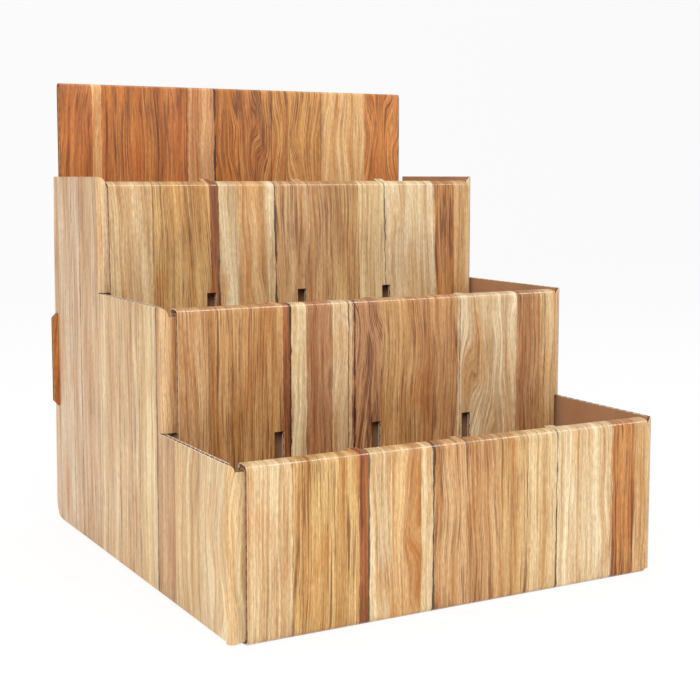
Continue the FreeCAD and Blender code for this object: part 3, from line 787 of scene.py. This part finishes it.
class STAND_OT_tray(StandOperator):
    """Build the lower tray: floor, side walls, corner flaps and rolled front wall"""

    bl_idname = "stand.tray"
    bl_label = "Tray"

    def execute(self, context):
        sizes, colours, layout = self.parts(context)
        # Each print has a crease copy for the folds' crests: cracks in the print and a painted highlight.
        finishes = [
            plank_print("flexo_printed_liner_front", SHOP_PLANKS, SHOP_JOINTS, colours, sizes, 1),
            plank_print("flexo_printed_liner_front_crease", SHOP_PLANKS, SHOP_JOINTS, colours, sizes, 1,
                        crack_and_highlight=0.6),
            *shared_papers(colours),
            plank_print("flexo_printed_liner_sides", SIDE_PLANKS, SIDE_JOINTS, colours, sizes, 5,
                        side=True),
            plank_print("flexo_printed_liner_sides_crease", SIDE_PLANKS, SIDE_JOINTS, colours, sizes, 5,
                        side=True, crack_and_highlight=0.25),
        ]
        front_slots = (0, 1, 2, 3, 4)
        side_slots = (5, 6, 2, 3, 4)
        meshes = self.front_wall(sizes, layout, front_slots, finishes)
        meshes += self.channel(sizes, layout, side_slots, finishes)
        meshes += self.flaps(sizes, layout, side_slots)
        assemble("tray_board", meshes, finishes, "tray")
        return {"FINISHED"}

    def front_wall(self, sizes, layout, slots, finishes):
        roll = layout.rolls[0]
        path = [
            (layout.flaps[0] + layout.fold_out, 0),
            (0, 0, layout.fold_out),
            (0, sizes.front_crease, layout.fold_out),
            (roll, sizes.front_crease + sizes.front_rise, layout.fold_out),
            (roll, sizes.board + sizes.slip),
        ]
        span = [sizes.inset, layout.width - sizes.inset]
        layers = board("front_wall", path, lambda p: span, side_view, "out", slots, sizes)
        backs = (roll - layout.fold_out - sizes.slip, roll + sizes.board)
        ups = (sizes.front_crease - sizes.slot_length, layout.top)
        cutters = slot_cutters(layout, sizes, 0.0, backs, ups, slots[2])
        lips = roll_lips(layout, sizes, 0.0, 0.0, roll, sizes.front_crease, sizes.front_rise, slots)
        return carve_all(layers, cutters, finishes) + lips

    def channel(self, sizes, layout, slots, finishes):
        width, fold = layout.width, layout.fold_out
        path = [(width, layout.top), (width, 0, fold), (0, 0, fold), (0, layout.top)]
        span = [layout.flaps[0] + fold, layout.depth]
        layers = board("channel", path, lambda p: span, front_view, "along", slots, sizes)
        past = sizes.board
        over = layout.top + past
        steps = [
            (-past, sizes.step_1), (layout.flaps[1] + fold, sizes.step_1),
            (layout.flaps[1] + fold, sizes.step_2), (layout.flaps[2] + fold, sizes.step_2),
            (layout.flaps[2] + fold, over), (-past, over),
        ]
        rear = self.rear_outline(sizes, layout, past)
        # The rear cutters take in each side wall and its fold with the floor.
        strip = 8.0
        clear = sizes.card_left - sizes.slip
        floor_end = cutting_box("floor_end", (clear, layout.seat, -past),
                                (width - clear, layout.depth + past, past + sizes.slip), slots[2])
        tab_backs = (layout.seat, layout.card_rear + sizes.slip)
        tab_ups = (sizes.tab_low - sizes.slip, sizes.tab_high + sizes.slip)
        cutters = [
            prism("step_cutter", steps, (-past, width + past), side_view, slots[2]),
            prism("rear_left", rear, (-past, strip), side_view, slots[2]),
            prism("rear_right", rear, (width - strip, width + past), side_view, slots[2]),
            floor_end,
        ]
        for low, high in ((-past, 2 * past), (width - 2 * past, width + past)):
            cutters.append(cutting_box("tab_cutter", (low, tab_backs[0], tab_ups[0]),
                                       (high, tab_backs[1], tab_ups[1]), slots[2]))
        return carve_all(layers, cutters, finishes)

    def rear_outline(self, sizes, layout, past):
        """What is cut off behind the side walls: a round lower corner and a lean."""
        radius = sizes.rear_radius
        centre = Vector((back_mm(tray_high.y) - radius, radius))
        hair = 0.01
        outline = [(centre.x, -past), (centre.x, -hair)]
        steps = 12
        for k in range(1, steps + 1):
            angle = math.pi / 2 * (k / steps - 1)
            outline.append((centre.x + radius * math.cos(angle), centre.y + radius * math.sin(angle)))
        outline += [
            (layout.depth - sizes.rear_lean, layout.top),
            (layout.depth - sizes.rear_lean, layout.top + past),
            (layout.depth + past, layout.top + past),
            (layout.depth + past, -past),
        ]
        return outline

    def flaps(self, sizes, layout, slots):
        foot = sizes.flap_foot
        rises = (
            (layout.flaps[0], foot, sizes.step_1, sizes.drop_1),
            (layout.flaps[1], sizes.step_1 + foot, sizes.step_2, sizes.drop_2),
            (layout.flaps[2], sizes.step_2 + foot, layout.top, sizes.drop_3),
        )
        meshes = []
        for number, (face, low, top, drop) in enumerate(rises):
            radius = min(drop, sizes.shoulder)

            def heights(point, low=low, top=top, drop=drop, radius=radius, number=number):
                inwards = max(0.0, point.x)
                under = top - drop
                if inwards < radius:
                    under = top - radius + math.sqrt(radius ** 2 - inwards ** 2)
                on_floor = number == 0 and inwards > sizes.inset - sizes.slip
                return [sizes.board + sizes.slip if on_floor else low, under]

            shoulder = [k * radius / 6 for k in range(6, 1, -1)]
            path = [(sizes.flap_reach, face), *((x, face) for x in shoulder if x > layout.fold_out + 0.1)]
            path += [(0, face, layout.fold_out), (0, face + layout.fold_out)]
            for view in (floor_plan, right_side_plan):
                meshes += board(f"flap_{number + 1}", path, heights, view, "out", slots, sizes)
        return meshes


class STAND_OT_risers(StandOperator):
    """Build the two risers with their rolled tops, slots, shelves and legs"""

    bl_idname = "stand.risers"
    bl_label = "Risers"

    def execute(self, context):
        sizes, _, layout = self.parts(context)
        front_2, front_3 = layout.riser_2_front, layout.riser_3_front
        crease_2 = up_mm(riser_2_high.z) - sizes.riser_2_rise
        crease_3 = up_mm(riser_3_high.z) - sizes.riser_3_rise
        lean = sizes.riser_3_setback / (crease_3 - 2 * sizes.board)
        self.build(context, "tier_2_riser", MIDDLE_PLANKS, MIDDLE_JOINTS, seed=14,
                   shift=-sizes.middle_shift, low=riser_2_low,
                   foot=(front_2, sizes.board), crease=(front_2, crease_2), rise=sizes.riser_2_rise,
                   roll=layout.rolls[1], shelf=sizes.step_2 - sizes.well, leg=front_3 - sizes.slip,
                   slot_top=sizes.step_1 - sizes.slot_drop,
                   slot_backs=(front_2 - sizes.board, front_2 + sizes.board + sizes.flap_foot))
        self.build(context, "tier_3_riser", SHOP_PLANKS, SHOP_JOINTS, seed=21,
                   shift=-sizes.rear_shift, low=riser_3_low,
                   foot=(front_3, sizes.board * (1 + lean)),
                   crease=(layout.riser_3_crease_at, crease_3), rise=sizes.riser_3_rise,
                   roll=layout.rolls[2], shelf=layout.top - sizes.well, leg=layout.seat,
                   slot_top=sizes.step_2 - sizes.slot_drop_3,
                   slot_backs=(front_3 - sizes.board, layout.flaps[2] + sizes.board))
        return {"FINISHED"}

    def build(self, context, node, planks, joints, seed, shift, low, foot, crease, rise, roll,
              shelf, leg, slot_top, slot_backs):
        sizes, colours, layout = self.parts(context)
        # The crease copy for the folds' crests has cracks in the print and a painted highlight.
        finishes = [
            plank_print(f"flexo_printed_liner_{node}", planks, joints, colours, sizes, seed),
            plank_print(f"flexo_printed_liner_{node}_crease", planks, joints, colours, sizes, seed,
                        crack_and_highlight=0.6),
            *shared_papers(colours),
        ]
        slots = (0, 1, 2, 3, 4)
        path = [
            foot,
            (*crease, layout.fold_out),
            (roll, crease[1] + rise, layout.fold_out),
            (roll, shelf, sizes.fold),
            (leg, shelf, layout.fold_out),
            (leg, sizes.board),
        ]
        inset = across_mm(low.x)
        span = [inset, layout.width - inset]
        layers = board(node, path, lambda p: span, side_view, "out", slots, sizes)
        behind = (roll - layout.fold_out - sizes.slip, roll + sizes.board)
        cutters = slot_cutters(layout, sizes, shift, behind,
                               (crease[1] - sizes.slot_length, 2 * layout.top), slots[2])
        cutters += slot_cutters(layout, sizes, shift, slot_backs,
                                (slot_top - sizes.slot_length, slot_top), slots[2])
        lips = roll_lips(layout, sizes, shift, crease[0], roll, crease[1], rise, slots)
        meshes = carve_all(layers, cutters, finishes) + lips
        assemble(node + "_board", meshes, finishes, node)


class STAND_OT_header(StandOperator):
    """Build the folded header card with its side tabs and slots"""

    bl_idname = "stand.header"
    bl_label = "Header card"

    def execute(self, context):
        sizes, colours, layout = self.parts(context)
        # The crease copy for the fold's crest has cracks in the print and a painted highlight.
        finishes = [
            plank_print("flexo_printed_liner_header", HEADER_PLANKS, HEADER_JOINTS, colours, sizes, 31),
            plank_print("flexo_printed_liner_header_crease", HEADER_PLANKS, HEADER_JOINTS, colours,
                        sizes, 31, crack_and_highlight=0.15),
            *shared_papers(colours),
        ]
        slots = (0, 1, 3, 3, 4)
        front, rear, height = layout.card_front, layout.card_rear, up_mm(header_high.z)
        # The card is folded flat on itself, so its fold is as tight as the board allows.
        bend = sizes.board + sizes.slip / 3
        path = [(front, 0), (front, height, bend), (rear, height, bend), (rear, 0)]
        left, right = sizes.card_left, layout.width - sizes.card_right
        layers = board("header", path, lambda p: [left, right], side_view, "out", slots, sizes)
        slot_top = layout.top - sizes.slot_drop
        cutters = slot_cutters(layout, sizes, -sizes.rear_shift, (front - sizes.board, rear + sizes.board),
                               (slot_top - sizes.slot_length, slot_top), slots[2])
        meshes = carve_all(layers, cutters, finishes)
        low, high = sizes.tab_low, sizes.tab_high
        for root, tip in ((left, across_mm(header_low.x)), (right, across_mm(header_high.x))):
            def widths(point, root=root, tip=tip):
                corner = min(point.y - low, high - point.y, sizes.tab_chamfer)
                cut = math.copysign(sizes.tab_chamfer - corner, root - tip)
                return [root, tip + cut]

            for ends in (((front, low), (front, high)), ((rear, high), (rear, low))):
                steps = [low, low + sizes.tab_chamfer, high - sizes.tab_chamfer, high]
                if ends[0][1] > ends[1][1]:
                    steps.reverse()
                tab_path = [(ends[0][0], up) for up in steps]
                meshes += board("tab", tab_path, widths, side_view, "out", slots, sizes)
        assemble("header_board", meshes, finishes, "header_card")
        return {"FINISHED"}


class STAND_OT_stage(bpy.types.Operator):
    """Set the white sweep, the soft lamps and the camera"""

    bl_idname = "stand.stage"
    bl_label = "Stage"
    bl_options = {"REGISTER", "UNDO"}

    def execute(self, context):
        self.sweep(context.scene.stand_colours.floor)
        self.world(context)
        middle = (tray_low + tray_high) / 2
        self.lamp("key_lamp", spot=Vector((-1.25, -1.45, 1.3)), target=middle, size=1.1, power=30)
        self.lamp("fill_lamp", spot=Vector((0.9, -1.7, 0.9)), target=middle, size=1.2, power=12)
        self.lamp("top_lamp", spot=Vector((0.0, 0.3, 1.9)), target=middle, size=1.4, power=12)
        self.camera(context)
        return {"FINISHED"}

    def sweep(self, tone):
        """A floor that curves up into a backdrop."""
        front, rear, top, half_width = -3.0, 2.0, 5.0, 5.0
        bend, steps = 1.2, 16
        profile = [(front, 0.0), (rear, 0.0)]
        for k in range(1, steps + 1):
            angle = math.pi / 2 * k / steps
            profile.append((rear + bend * math.sin(angle), bend * (1 - math.cos(angle))))
        profile.append((rear + bend, top))
        shell = bmesh.new()
        rows = [
            [shell.verts.new((across, back, tray_low.z + up)) for back, up in profile]
            for across in (-half_width, half_width)
        ]
        for i in range(len(profile) - 1):
            shell.faces.new((rows[0][i], rows[0][i + 1], rows[1][i + 1], rows[1][i]))
        bmesh.ops.recalc_face_normals(shell, faces=shell.faces)
        mesh = bpy.data.meshes.new("studio_sweep")
        shell.to_mesh(mesh)
        shell.free()
        mesh.polygons.foreach_set("use_smooth", [True] * len(mesh.polygons))
        mesh.materials.append(studio_white("painted_sweep_board", tone))
        sweep = bpy.data.objects.new("studio_sweep", mesh)
        bpy.context.collection.objects.link(sweep)

    def world(self, context):
        world = bpy.data.worlds.new("soft_room")
        world.use_nodes = True
        context.scene.world = world
        tree = world.node_tree
        room = tree.nodes["Background"]
        room.inputs["Color"].default_value = (1, 1, 1, 1)
        room.inputs["Strength"].default_value = 0.55
        white = add(tree, "ShaderNodeBackground", {"Color": (1, 1, 1, 1), "Strength": 1.0})
        rays = add(tree, "ShaderNodeLightPath")
        seen = rays.outputs["Is Camera Ray"]
        for kind in ("Is Glossy Ray", "Is Transmission Ray"):
            seen = add(tree, "ShaderNodeMath", {0: seen, 1: rays.outputs[kind]}, operation="MAXIMUM")
        both = add(tree, "ShaderNodeMixShader", {0: seen, 1: room, 2: white})
        tree.links.new(both.outputs[0], tree.nodes["World Output"].inputs["Surface"])

    def lamp(self, name, spot, target, size, power):
        data = bpy.data.lights.new(name, "AREA")
        data.size = size
        data.energy = power
        lamp = bpy.data.objects.new(name, data)
        lamp.location = spot
        lamp.rotation_euler = (target - spot).to_track_quat("-Z", "Y").to_euler()
        bpy.context.collection.objects.link(lamp)

    def camera(self, context):
        """The photograph's view, from a fit of the camera to the stand's edges."""
        data = bpy.data.cameras.new("camera")
        data.sensor_width = 36.0
        data.lens = 67.93
        data.shift_x = 0.0210
        data.shift_y = -0.0632
        camera = bpy.data.objects.new("camera", data)
        camera.location = (-0.4055, -0.7376, 0.2382)
        yaw, pitch = math.radians(28.81), math.radians(5.66)
        camera.rotation_euler = (math.pi / 2 - pitch, 0.0, -yaw)
        bpy.context.collection.objects.link(camera)
        context.scene.camera = camera
        context.scene.view_settings.view_transform = "Standard"


class STAND_PT_panel(bpy.types.Panel):
    """Lists the stand's operators and settings"""

    bl_label = "Display Stand"
    bl_idname = "STAND_PT_panel"
    bl_space_type = "VIEW_3D"
    bl_region_type = "UI"
    bl_category = "Display Stand"

    def draw(self, context):
        layout = self.layout
        for operator in STEPS:
            layout.operator(operator.bl_idname)
        for group in (context.scene.stand_sizes, context.scene.stand_colours):
            box = layout.box()
            for name in group.__annotations__:
                box.prop(group, name)


STEPS = (STAND_OT_tray, STAND_OT_risers, STAND_OT_header, STAND_OT_stage)
CLASSES = (StandSizes, StandColours, *STEPS, STAND_PT_panel)


def register():
    for cls in CLASSES:
        bpy.utils.register_class(cls)
    bpy.types.Scene.stand_sizes = bpy.props.PointerProperty(type=StandSizes)
    bpy.types.Scene.stand_colours = bpy.props.PointerProperty(type=StandColours)


def unregister():
    del bpy.types.Scene.stand_colours
    del bpy.types.Scene.stand_sizes
    for cls in reversed(CLASSES):
        bpy.utils.unregister_class(cls)


def main():
    register()
    bpy.ops.stand.tray()
    bpy.ops.stand.risers()
    bpy.ops.stand.header()
    bpy.ops.stand.stage()


if __name__ == "__main__":
    main()
